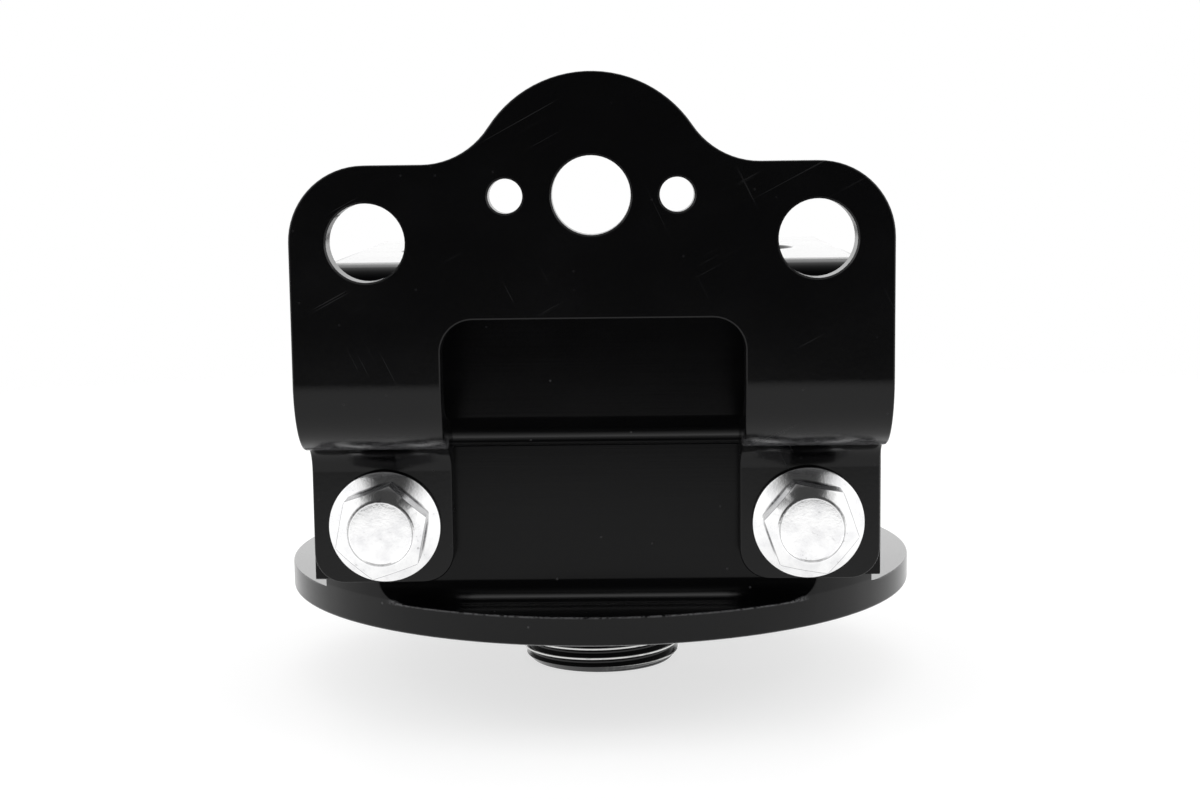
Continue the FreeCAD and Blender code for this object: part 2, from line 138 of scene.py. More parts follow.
class Bench:
    """One material's node tree, with the few tools that every finish uses."""

    def __init__(self, name: str) -> None:
        """Start an empty material."""
        self.material = bpy.data.materials.new(name)
        self.material.use_nodes = True
        self.tree = self.material.node_tree
        self.tree.nodes.clear()

    def node(self, kind: str, settings: dict[str, Any], values: dict[Any, Any]) -> bpy.types.Node:
        """Add any node.

        Args:
            kind: the node's type name.
            settings: its own properties, set before its sockets.
            values: a number, colour, vector or Signal for each socket, by name or index.

        Returns:
            The new node.
        """
        made = self.tree.nodes.new(kind)
        for key, value in settings.items():
            setattr(made, key, value)
        for key, value in values.items():
            if isinstance(value, Signal):
                self.tree.links.new(value.socket, made.inputs[key])
            else:
                made.inputs[key].default_value = value
        return made

    def maths(self, operation: str, first: Number, second: Number) -> Signal:
        """One Math node on two values."""
        made = self.node("ShaderNodeMath", {"operation": operation}, {0: first, 1: second})
        return Signal(self, made.outputs[0])

    def larger(self, first: Number, second: Number) -> Signal:
        """The larger of two values."""
        return self.maths("MAXIMUM", first, second)

    def place(self) -> Signal:
        """Where on the object a point is, in metres."""
        made = self.node("ShaderNodeTexCoord", {}, {})
        return Signal(self, made.outputs["Object"])

    def facing(self) -> Signal:
        """The direction that the true surface faces."""
        made = self.node("ShaderNodeNewGeometry", {}, {})
        return Signal(self, made.outputs["Normal"])

    def parts(self, vector: Signal) -> tuple[Signal, Signal, Signal]:
        """The three parts of a vector."""
        made = self.node("ShaderNodeSeparateXYZ", {}, {0: vector})
        return tuple(Signal(self, made.outputs[index]) for index in range(3))

    def stretched(
        self, scale: Point, turn: Point = (0.0, 0.0, 0.0), shift: Point = (0.0, 0.0, 0.0)
    ) -> Signal:
        """Object coordinates, turned, scaled and shifted for a pattern.

        Args:
            scale: how many pattern cells there are in a metre, along each axis.
            turn: rotation in degrees about each axis.
            shift: offset after scaling.

        Returns:
            The coordinates for a texture of scale 1.
        """
        where = self.place()
        if any(turn):
            angles = tuple(math.radians(angle) for angle in turn)
            turned = self.node(
                "ShaderNodeMapping", {"vector_type": "POINT"}, {"Vector": where, "Rotation": angles}
            )
            where = Signal(self, turned.outputs[0])
        made = self.node(
            "ShaderNodeMapping",
            {"vector_type": "POINT"},
            {"Vector": where, "Location": tuple(shift), "Scale": tuple(scale)},
        )
        return Signal(self, made.outputs[0])

    def even(self, count: float) -> Signal:
        """Object coordinates for a pattern of so many cells in a metre, alike along each axis."""
        return self.stretched((count, count, count))

    def noise(self, where: Signal, detail: float = 2.0, roughness: float = 0.5) -> Signal:
        """Cloudy noise from 0 to 1."""
        made = self.node(
            "ShaderNodeTexNoise",
            {"noise_dimensions": "3D"},
            {"Vector": where, "Scale": 1.0, "Detail": detail, "Roughness": roughness},
        )
        return Signal(self, made.outputs[0])

    def cells(self, where: Signal) -> Signal:
        """Distance to the nearest of many scattered points."""
        made = self.node(
            "ShaderNodeTexVoronoi",
            {"feature": "F1"},
            {"Vector": where, "Scale": 1.0, "Randomness": 1.0},
        )
        return Signal(self, made.outputs["Distance"])

    def blend(self, mask: Number, first: Any, second: Any) -> Signal:
        """A colour between two colours.

        Args:
            mask: 0 gives the first colour and 1 the second.
            first: colour or Signal.
            second: colour or Signal.

        Returns:
            The mixed colour.
        """
        made = self.node(
            "ShaderNodeMix",
            {"data_type": "RGBA", "blend_type": "MIX", "clamp_factor": True},
            {0: mask, 6: first, 7: second},
        )
        return Signal(self, made.outputs[2])

    def relief(self, height: Signal, depth: float, strength: float = 1.0) -> Signal:
        """A bumped normal from a height of 0 to 1 that stands for a depth in metres."""
        made = self.node(
            "ShaderNodeBump", {}, {"Height": height, "Distance": depth, "Strength": strength}
        )
        return Signal(self, made.outputs[0])

    def surface(self, values: dict[str, Any]) -> bpy.types.Material:
        """Close the material with a Principled surface.

        Args:
            values: a number, colour or Signal for each of the shader's sockets.

        Returns:
            The finished material.
        """
        shader = self.node("ShaderNodeBsdfPrincipled", {}, values)
        end = self.node("ShaderNodeOutputMaterial", {}, {})
        self.tree.links.new(shader.outputs[0], end.inputs["Surface"])
        return self.material


class RoomBench(Bench):
    """The node tree of the room's light, with the same tools."""

    def __init__(self, name: str) -> None:
        """Start an empty world."""
        self.world = bpy.data.worlds.new(name)
        self.world.use_nodes = True
        self.tree = self.world.node_tree
        self.tree.nodes.clear()


def grey(level: float) -> Colour:
    """A neutral colour of one level."""
    return (level, level, level, 1.0)


# ---- finishes -------------------------------------------------------------------------

@dataclass(frozen=True)
class BlackAnodised:
    """Black anodised aluminium that still shows the cutter's fine lines."""

    depth_colour: Colour = (0.0012, 0.0012, 0.0014, 1.0)
    bright_colour: Colour = (0.0026, 0.0026, 0.0029, 1.0)
    bare_colour: Colour = (0.16, 0.16, 0.165, 1.0)
    gloss: float = 0.16
    reflectance: float = 0.16
    polish: float = 0.09
    line_pitch: float = 0.22 * MM
    ring_drift: float = 12.0
    rim_radius: float = 50.8 * MM
    rim_height: float = 4.3 * MM
    rim_shows: tuple[float, float] = (31.5 * MM, 28.4 * MM)
    rim_fade: float = 2.0 * MM

    def material(self) -> bpy.types.Material:
        """Mill lines on flat faces, turned rings on the flange, a few specks and a bare rim edge.

        Returns:
            The material.
        """
        bench = Bench("black_anodised")
        x, y, z = bench.parts(bench.place())
        upward = abs(bench.parts(bench.facing())[2]).rising(0.6, 0.9)
        radius = (x * x + y * y) ** 0.5
        lines = 1.0 / self.line_pitch
        level_lines = bench.noise(bench.stretched((30.0, 30.0, lines)), 3.0, 0.6)
        drift = self.ring_drift
        rings = bench.node("ShaderNodeCombineXYZ", {}, {0: radius * lines, 1: x * drift, 2: z * drift})
        ring_lines = bench.noise(Signal(bench, rings.outputs[0]), 3.0, 0.6)
        grain = level_lines * (1.0 - upward) + ring_lines * upward
        flange = z.falling(self.rim_height + 0.3 * MM, self.rim_height + 0.6 * MM)
        turned = radius.rising(self.rim_radius - 1.2 * MM, self.rim_radius - 0.6 * MM)
        turned = (1.0 - upward) * flange * turned
        cloud = bench.noise(bench.stretched((90.0, 90.0, 140.0)), 3.0)
        mottle = bench.noise(bench.even(2300.0), 2.0)
        specks = bench.cells(bench.even(260.0)).falling(0.03, 0.07)
        rim_edge = radius.rising(self.rim_radius - 0.45 * MM, self.rim_radius - 0.1 * MM)
        half = self.rim_height / 2.0
        level = abs(z - half).rising(half - 0.34 * MM, half - 0.04 * MM) * flange
        front, side = self.rim_shows
        before = abs(x).falling(front - self.rim_fade, front)
        beside = abs(y).falling(side - self.rim_fade, side)
        worn = rim_edge * level * bench.larger(before, beside) * mottle.rising(0.3, 0.62)
        colour = bench.blend(cloud, self.depth_colour, self.bright_colour)
        colour = bench.blend(bench.larger(worn * 0.55, specks * 0.25), colour, self.bare_colour)
        return bench.surface({
            "Base Color": colour,
            "Metallic": 0.0,
            "Roughness": grain * 0.08 + cloud * 0.08 + (self.gloss - 0.06) + specks * 0.2,
            "Specular IOR Level": self.reflectance,
            "Coat Weight": upward * 0.9 + turned * 0.12,
            "Coat Roughness": self.polish,
            "Normal": bench.relief(grain * 0.75 + mottle * 0.25, 0.006 * MM, 0.8),
        })


@dataclass(frozen=True)
class SatinPaint:
    """Satin black on bent steel plate, with a faint orange peel and handling marks."""

    paint_colour: Colour = (0.0014, 0.0014, 0.0016, 1.0)
    dusty_colour: Colour = (0.0022, 0.0022, 0.0025, 1.0)
    scratch_colour: Colour = (0.035, 0.035, 0.037, 1.0)
    rubbed_and_highlight_colour: Colour = (0.075, 0.075, 0.078, 1.0)
    bend_foot: float = 28.3 * MM
    bend_line: float = -47.3 * MM
    gloss: float = 0.20
    reflectance: float = 0.25

    def scratches(self, bench: Bench, angle: float, seed: float) -> Signal:
        """Sparse thin marks that run one way.

        Args:
            bench: the material's bench.
            angle: the marks' slope in degrees, in the plane of the face.
            seed: shifts the pattern so that each set of marks differs.

        Returns:
            A mask of the marks.
        """
        where = bench.stretched((45.0, 45.0, 3600.0), (0.0, angle, 0.0), (seed, seed, seed))
        thin = bench.noise(where, 0.0).rising(0.74, 0.82)
        patches = bench.noise(bench.stretched((70.0, 70.0, 70.0), shift=(seed, 0.0, seed)), 1.0)
        return thin * patches.rising(0.56, 0.66)

    def material(self) -> bpy.types.Material:
        """Peel, clouds of handling dust, specks, a few scratches and a painted highlight along the
        lower edge of the front bend.

        Returns:
            The material.
        """
        bench = Bench("satin_paint")
        peel = bench.noise(bench.even(1500.0), 2.0)
        cloud = bench.noise(bench.stretched((55.0, 55.0, 80.0)), 3.0, 0.55)
        specks = bench.cells(bench.even(330.0)).falling(0.035, 0.075)
        _, depth, height = bench.parts(bench.place())
        # Painted highlight: a lighter band along the underside of the front bend, mottled by the peel,
        # standing in for the floor's reflection there.
        rubbed_and_highlight = height.falling(self.bend_foot + 0.5 * MM, self.bend_foot + 2.6 * MM)
        rubbed_and_highlight = rubbed_and_highlight * height.rising(self.bend_foot - 0.6 * MM, self.bend_foot)
        rubbed_and_highlight = rubbed_and_highlight * depth.falling(self.bend_line - 1.0 * MM, self.bend_line + 0.5 * MM)
        rubbed_and_highlight = rubbed_and_highlight * (0.35 + peel.rising(0.35, 0.65) * 0.65)
        marks = bench.larger(self.scratches(bench, 28.0, 3.1), self.scratches(bench, -64.0, 7.7))
        colour = bench.blend(cloud.rising(0.45, 0.8), self.paint_colour, self.dusty_colour)
        colour = bench.blend(rubbed_and_highlight, colour, self.rubbed_and_highlight_colour)
        colour = bench.blend(bench.larger(marks * 0.25, specks * 0.22), colour, self.scratch_colour)
        return bench.surface({
            "Base Color": colour,
            "Metallic": 0.0,
            "Roughness": cloud * 0.10 + peel * 0.04 + (self.gloss - 0.07) + marks * 0.15,
            "Specular IOR Level": self.reflectance,
            "Normal": bench.relief(peel * 0.9 - marks * 0.3, 0.012 * MM, 0.7),
        })


@dataclass(frozen=True)
class ZincPlate:
    """Bright zinc on one bolt, with painted shade on the hexagon's sides and in its corners."""

    name: str
    centre: tuple[float, float]
    turn: float
    seat_y: float
    half_flats: float
    flange_height: float
    head: float
    dish_radius: float = 4.6 * MM
    bright_colour: Colour = (0.95, 0.95, 0.95, 1.0)
    dull_colour: Colour = (0.82, 0.82, 0.83, 1.0)
    shaded_side_colour: Colour = (0.30, 0.30, 0.31, 1.0)
    grime_and_shade_colour: Colour = (0.06, 0.06, 0.065, 1.0)

    def across_flats(self, bench: Bench, x: Signal, z: Signal) -> Signal:
        """How far a point is from the bolt's axis, measured square to the nearest flat.

        Args:
            bench: the material's bench.
            x: distance from the axis along X.
            z: distance from the axis along Z.

        Returns:
            The distance, in metres.
        """
        flats = []
        for step in range(3):
            angle = math.radians(self.turn + 30.0 + 60.0 * step)
            flats.append(abs(x * math.cos(angle) + z * math.sin(angle)))
        return bench.larger(bench.larger(flats[0], flats[1]), flats[2])

    def material(self) -> bpy.types.Material:
        """Clouded plating, painted shade on the sides, along the foot of the hexagon and round the
        dish, and freckles of grime.

        Returns:
            The material.
        """
        bench = Bench(self.name)
        x, y, z = bench.parts(bench.place())
        x = x - self.centre[0]
        z = z - self.centre[1]
        height = self.seat_y - y
        radius = (x * x + z * z) ** 0.5
        reach = self.across_flats(bench, x, z)
        cloud = bench.noise(bench.even(420.0), 3.0, 0.6)
        fine = bench.noise(bench.even(2400.0), 3.0, 0.65)
        freckles = bench.noise(bench.even(1300.0), 3.0, 0.7).rising(0.60, 0.70)
        above = height.rising(self.flange_height - 0.1 * MM, self.flange_height + 0.2 * MM)
        # Painted shade: the hexagon's sides above the flange are coloured darker than its top.
        side = reach.rising(self.half_flats - 0.10 * MM, self.half_flats - 0.03 * MM) * above
        # Painted shade in the crease along the foot of the hexagon, and round the edge of the dish on
        # top.
        foot = abs(reach - self.half_flats).falling(0.10 * MM, 0.32 * MM)
        foot = foot * abs(height - self.flange_height).falling(0.15 * MM, 0.5 * MM)
        ring = abs(radius - self.dish_radius).falling(0.05 * MM, 0.13 * MM)
        ring = ring * height.rising(self.head - 0.3 * MM, self.head - 0.15 * MM)
        colour = bench.blend(cloud.rising(0.35, 0.75), self.bright_colour, self.dull_colour)
        colour = bench.blend(side * (0.55 + fine * 0.6), colour, self.shaded_side_colour)
        grime_and_shade = bench.larger(foot * (0.45 + fine * 0.8), ring * (0.15 + fine * 0.6))
        # The freckles are grime; the foot and dish masks above are painted shade.
        grime_and_shade = bench.larger(grime_and_shade, freckles * cloud.rising(0.50, 0.70) * 0.6)
        colour = bench.blend(grime_and_shade, colour, self.grime_and_shade_colour)
        return bench.surface({
            "Base Color": colour,
            "Metallic": 1.0,
            "Roughness": cloud * 0.07 + fine * 0.06 + 0.05 + side * 0.1,
            "Normal": bench.relief(fine * 0.85 + cloud * 0.15, 0.022 * MM, 0.6),
        })


@dataclass(frozen=True)
class DarkThread:
    """Blackened steel whose thread is rubbed bright on its crests."""

    dark_colour: Colour = (0.006, 0.006, 0.0065, 1.0)
    bright_colour: Colour = (0.86, 0.86, 0.85, 1.0)
    crest_radius: float = 12.95 * MM

    def material(self) -> bpy.types.Material:
        """Oily black with fine tool rings, and bare metal on the crests.

        Returns:
            The material.
        """
        bench = Bench("dark_thread")
        x, y, _ = bench.parts(bench.place())
        radius = (x * x + y * y) ** 0.5
        rings = bench.noise(bench.stretched((40.0, 40.0, 9000.0)), 2.0, 0.6)
        haze = bench.noise(bench.stretched((260.0, 260.0, 900.0)), 3.0)
        rubbed_and_highlight = radius.rising(self.crest_radius - 0.16 * MM, self.crest_radius - 0.05 * MM)
        rubbed_and_highlight = rubbed_and_highlight * haze.rising(0.25, 0.45)
        return bench.surface({
            "Base Color": bench.blend(rubbed_and_highlight, self.dark_colour, self.bright_colour),
            "Metallic": rubbed_and_highlight,
            "Roughness": rings * 0.08 + haze * 0.08 + 0.08,
            "Normal": bench.relief(rings, 0.004 * MM, 0.6),
        })


@dataclass(frozen=True)
class BlackOxide:
    """Blackened steel of the screw plug."""

    dark_colour: Colour = (0.035, 0.035, 0.038, 1.0)
    rubbed_and_highlight_colour: Colour = (0.12, 0.12, 0.125, 1.0)

    def material(self) -> bpy.types.Material:
        """An oily black with rubbed clouds.

        Returns:
            The material.
        """
        bench = Bench("black_oxide")
        cloud = bench.noise(bench.even(500.0), 4.0, 0.6)
        return bench.surface({
            "Base Color": bench.blend(cloud.rising(0.4, 0.75), self.dark_colour, self.rubbed_and_highlight_colour),
            "Metallic": 1.0,
            "Roughness": cloud * 0.2 + 0.28,
            "Normal": bench.relief(cloud, 0.02 * MM, 0.5),
        })


# ---- modelling tools ------------------------------------------------------------------

class Cut(Enum):
    """How one solid is cut by another."""

    KEEP_SHARED = "INTERSECT"
    JOIN = "UNION"
    REMOVE = "DIFFERENCE"


def stand_clear() -> None:
    """Leave edit mode and deselect everything."""
    if bpy.context.mode != "OBJECT":
        bpy.ops.object.mode_set(mode="OBJECT")
    bpy.ops.object.select_all(action="DESELECT")


def pick(piece: bpy.types.Object) -> None:
    """Make one object the only selected and active one."""
    stand_clear()
    piece.select_set(True)
    bpy.context.view_layer.objects.active = piece


def choose(piece: bpy.types.Object, domain: str, test: Callable[[Any], bool]) -> int:
    """Select the faces or edges that pass a test, and end in edit mode.

    Args:
        piece: the object.
        domain: "FACE" or "EDGE".
        test: says whether a polygon or edge is wanted.

    Returns:
        How many were selected.
    """
    pick(piece)
    bpy.ops.object.mode_set(mode="EDIT")
    bpy.ops.mesh.select_mode(type=domain)
    bpy.ops.mesh.select_all(action="DESELECT")
    bpy.ops.object.mode_set(mode="OBJECT")
    wanted = 0
    for part in piece.data.polygons if domain == "FACE" else piece.data.edges:
        part.select = bool(test(part))
        wanted += part.select
    bpy.ops.object.mode_set(mode="EDIT")
    return wanted


def apply_modifier(piece: bpy.types.Object, kind: str, name: str, **settings: Any) -> None:
    """Add one modifier with its settings and apply it."""
    pick(piece)
    made = piece.modifiers.new(name, kind)
    for key, value in settings.items():
        setattr(made, key, value)
    bpy.ops.object.modifier_apply(modifier=made.name)


def carve(piece: bpy.types.Object, tool: bpy.types.Object, cut: Cut) -> None:
    """Cut a piece with a tool and throw the tool away."""
    apply_modifier(piece, "BOOLEAN", "carve", operation=cut.value, object=tool, solver="EXACT")
    bpy.data.objects.remove(tool, do_unlink=True)


def settle(piece: bpy.types.Object, turn: Matrix) -> None:
    """Put a piece's place into its mesh, with its object left at the origin."""
    piece.data.transform(turn @ piece.matrix_basis)
    piece.matrix_basis = Matrix.Identity(4)
    piece.data.update()


def even_normals(piece: bpy.types.Object, gap: float = POINT_GAP) -> None:
    """Merge doubled points and turn every face outwards."""
    pick(piece)
    bpy.ops.object.mode_set(mode="EDIT")
    bpy.ops.mesh.select_mode(type="VERT")
    bpy.ops.mesh.select_all(action="SELECT")
    bpy.ops.mesh.remove_doubles(threshold=gap)
    bpy.ops.mesh.normals_make_consistent(inside=False)
    bpy.ops.object.mode_set(mode="OBJECT")


def smooth(piece: bpy.types.Object, angle: float) -> None:
    """Shade smooth wherever faces meet at less than an angle in degrees, and keep flats flat."""
    pick(piece)
    bpy.ops.object.shade_smooth_by_angle(angle=math.radians(angle))
    apply_modifier(
        piece, "WEIGHTED_NORMAL", "flat_faces", mode="FACE_AREA", weight=100, keep_sharp=True
    )


def drawn_line(name: str, corners: Sequence[tuple[float, float]]) -> bpy.types.Object:
    """Draw a line of edges in the XZ plane by extruding one point from corner to corner.

    Args:
        name: name of the new object.
        corners: radius and height of each corner in metres.

    Returns:
        The line, in object mode.
    """
    stand_clear()
    bpy.ops.mesh.primitive_plane_add(size=1.0 * MM)
    line = bpy.context.active_object
    line.name = name
    line.data.name = name
    bpy.ops.object.mode_set(mode="EDIT")
    bpy.ops.mesh.select_mode(type="VERT")
    bpy.ops.mesh.select_all(action="SELECT")
    bpy.ops.mesh.merge(type="CENTER")
    bpy.ops.object.mode_set(mode="OBJECT")
    line.data.vertices[0].co = (corners[0][0], 0.0, corners[0][1])
    bpy.ops.object.mode_set(mode="EDIT")
    bpy.ops.mesh.select_all(action="SELECT")
    for before, after in zip(corners, corners[1:]):
        move = (after[0] - before[0], 0.0, after[1] - before[1])
        bpy.ops.mesh.extrude_region_move(TRANSFORM_OT_translate={"value": move})
    bpy.ops.object.mode_set(mode="OBJECT")
    return line


def lathe(name: str, profile: Sequence[tuple[float, float]], steps: int = FACETS) -> bpy.types.Object:
    """Turn a profile about the Z axis.

    Args:
        name: name of the new object.
        profile: radius and height of each corner in metres, as a closed outline.
        steps: how many facets go round.

    Returns:
        A closed turned solid.
    """
    made = drawn_line(name, list(profile) + [profile[0]])
    bpy.ops.object.mode_set(mode="EDIT")
    bpy.ops.mesh.select_all(action="SELECT")
    bpy.ops.mesh.remove_doubles(threshold=1e-7)
    bpy.ops.mesh.select_all(action="SELECT")
    bpy.ops.mesh.spin(steps=steps, angle=math.tau, center=(0.0, 0.0, 0.0), axis=(0.0, 0.0, 1.0))
    bpy.ops.object.mode_set(mode="OBJECT")
    even_normals(made)
    return made


def threaded_rod(
    name: str, crest: float, root: float, pitch: float, low: float, high: float
) -> bpy.types.Object:
    """A solid rod with a helical thread of sixty degrees.

    Args:
        name: name of the new object.
        crest: radius over the thread's crests.
        root: radius at the thread's roots.
        pitch: height of one turn.
        low: height of the rod's foot.
        high: height of the rod's top.

    Returns:
        A closed threaded solid on the Z axis.
    """
    flank = (crest - root) * math.tan(math.radians(30.0))
    flat = (pitch - 2.0 * flank) / 2.0
    corners = [(root, 0.0), (root, flat), (crest, flat + flank), (crest, pitch - flank), (root, pitch)]
    start = low - 2.0 * pitch
    rod = drawn_line(name, [(radius, start + height) for radius, height in corners])
    turns = math.ceil((high - low) / pitch) + 4
    apply_modifier(
        rod, "SCREW", "helix", angle=math.tau, screw_offset=pitch, iterations=turns,
        steps=72, render_steps=72, axis="Z", use_merge_vertices=True, merge_threshold=POINT_GAP,
    )
    for height, above in ((low, False), (high, True)):
        pick(rod)
        bpy.ops.object.mode_set(mode="EDIT")
        bpy.ops.mesh.select_mode(type="VERT")
        bpy.ops.mesh.select_all(action="SELECT")
        bpy.ops.mesh.remove_doubles(threshold=POINT_GAP)
        bpy.ops.mesh.bisect(
            plane_co=(0.0, 0.0, height), plane_no=(0.0, 0.0, 1.0),
            use_fill=True, clear_outer=above, clear_inner=not above,
        )
        bpy.ops.object.mode_set(mode="OBJECT")
    even_normals(rod)
    return rod


def merged_copy(frame: dict[str, Any], node: str, name: str) -> bpy.types.Object:
    """A copy of a CAD node's mesh with its loose triangles joined and its flats made whole.

    Args:
        node: the CAD node.
        name: name of the new object.

    Returns:
        The copy, which rides on nothing yet.
    """
    made = bpy.data.objects.new(name, frame["nodes"][node].data.copy())
    made.data.name = name
    bpy.context.scene.collection.objects.link(made)
    made.data.materials.clear()
    even_normals(made, 2e-6)
    pick(made)
    bpy.ops.object.mode_set(mode="EDIT")
    bpy.ops.mesh.select_all(action="SELECT")
    if made.data.has_custom_normals:
        bpy.ops.mesh.customdata_custom_splitnormals_clear()
    bpy.ops.mesh.dissolve_limited(angle_limit=math.radians(0.3))
    bpy.ops.object.mode_set(mode="OBJECT")
    return made


def dress_piece(piece: bpy.types.Object, finish: bpy.types.Material, slot: str, *nodes: str) -> None:
    """Give a finished piece its material and its body, and hide the CAD nodes it stands for."""
    piece.data.materials.clear()
    piece.data.materials.append(finish)
    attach(piece, "root")
    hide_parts(*nodes)
    log.info("%s: %d faces", piece.name, len(piece.data.polygons))


# ---- sub-assemblies -------------------------------------------------------------------

@dataclass
class FilterHead:
    """The block with its turned flange, tapped ports and screw plug."""

    edge_break: float = 0.22 * MM
    port_spacing: float = 44.0 * MM
    port_root: float = 9.25 * MM
    port_crest: float = 10.1 * MM
    port_pitch: float = 1.814 * MM
    port_depth: float = 17.5 * MM
    top: float = 54.0 * MM

    def build(self, frame: dict[str, Any]) -> None:
        """Model the head and dress it and its plug.
        """
        head = merged_copy(frame, "filter_head", "head_block")
        apply_modifier(
            head, "BEVEL", "broken_edges", width=self.edge_break, segments=2, limit_method="ANGLE",
            angle_limit=math.radians(38.0), use_clamp_overlap=True, harden_normals=False,
        )
        for side in (-1.0, 1.0):
            tap = threaded_rod(
                "port_tap", self.port_crest, self.port_root, self.port_pitch,
                self.top - self.port_depth, self.top - 1.0 * MM,
            )
            settle(tap, Matrix.Translation((side * self.port_spacing / 2.0, 0.0, 0.0)))
            carve(head, tap, Cut.REMOVE)
        smooth(head, 30.0)
        dress_piece(head, BlackAnodised().material(), "anodised_block", "filter_head")
        plug = frame["nodes"]["gallery_plug"]
        plug.data.materials.clear()
        plug.data.materials.append(BlackOxide().material())


@dataclass
class FilterNipple:
    """The hollow threaded stub under the head."""

    crest: float = 12.95 * MM
    root: float = 11.98 * MM
    pitch: float = 1.5875 * MM
    seat: float = 12.4 * MM
    bore: float = 9.5 * MM
    drop: float = 14.3 * MM
    grip: float = 18.0 * MM
    lead: float = 1.2 * MM
    bore_break: float = 0.5 * MM

    def build(self) -> None:
        """Cut the thread, trim it to the nipple's outline and dress it."""
        nipple = threaded_rod(
            "threaded_nipple", self.crest, self.root, self.pitch,
            -self.drop - self.lead, self.grip + self.lead,
        )
        outline = [
            (self.bore, -self.drop + self.bore_break),
            (self.bore + self.bore_break, -self.drop),
            (self.crest - self.lead, -self.drop),
            (self.crest, -self.drop + self.lead),
            (self.crest, 0.0),
            (self.seat, 0.0),
            (self.seat, self.grip),
            (self.bore, self.grip),
        ]
        carve(nipple, lathe("nipple_envelope", outline, 128), Cut.KEEP_SHARED)
        even_normals(nipple)
        smooth(nipple, 24.0)
        dress_piece(nipple, DarkThread().material(), "dark_nipple", "filter_nipple")


@dataclass
class Bracket:
    """The joggled plate."""

    edge_break: float = 0.28 * MM

    def build(self, frame: dict[str, Any]) -> None:
        """Soften the punched edges of the plate and dress it.
        """
        plate = merged_copy(frame, "mounting_bracket", "bent_bracket")
        apply_modifier(
            plate, "BEVEL", "punched_edges", width=self.edge_break, segments=3, limit_method="ANGLE",
            angle_limit=math.radians(50.0), use_clamp_overlap=True, harden_normals=False,
        )
        smooth(plate, 30.0)
        dress_piece(plate, SatinPaint().material(), "black_bracket", "mounting_bracket")


class Hand(Enum):
    """Which bolt of the pair, with its side along X and the turn of its hexagon in degrees."""

    LEFT = ("left", -1.0, 19.0)
    RIGHT = ("right", 1.0, 49.4)


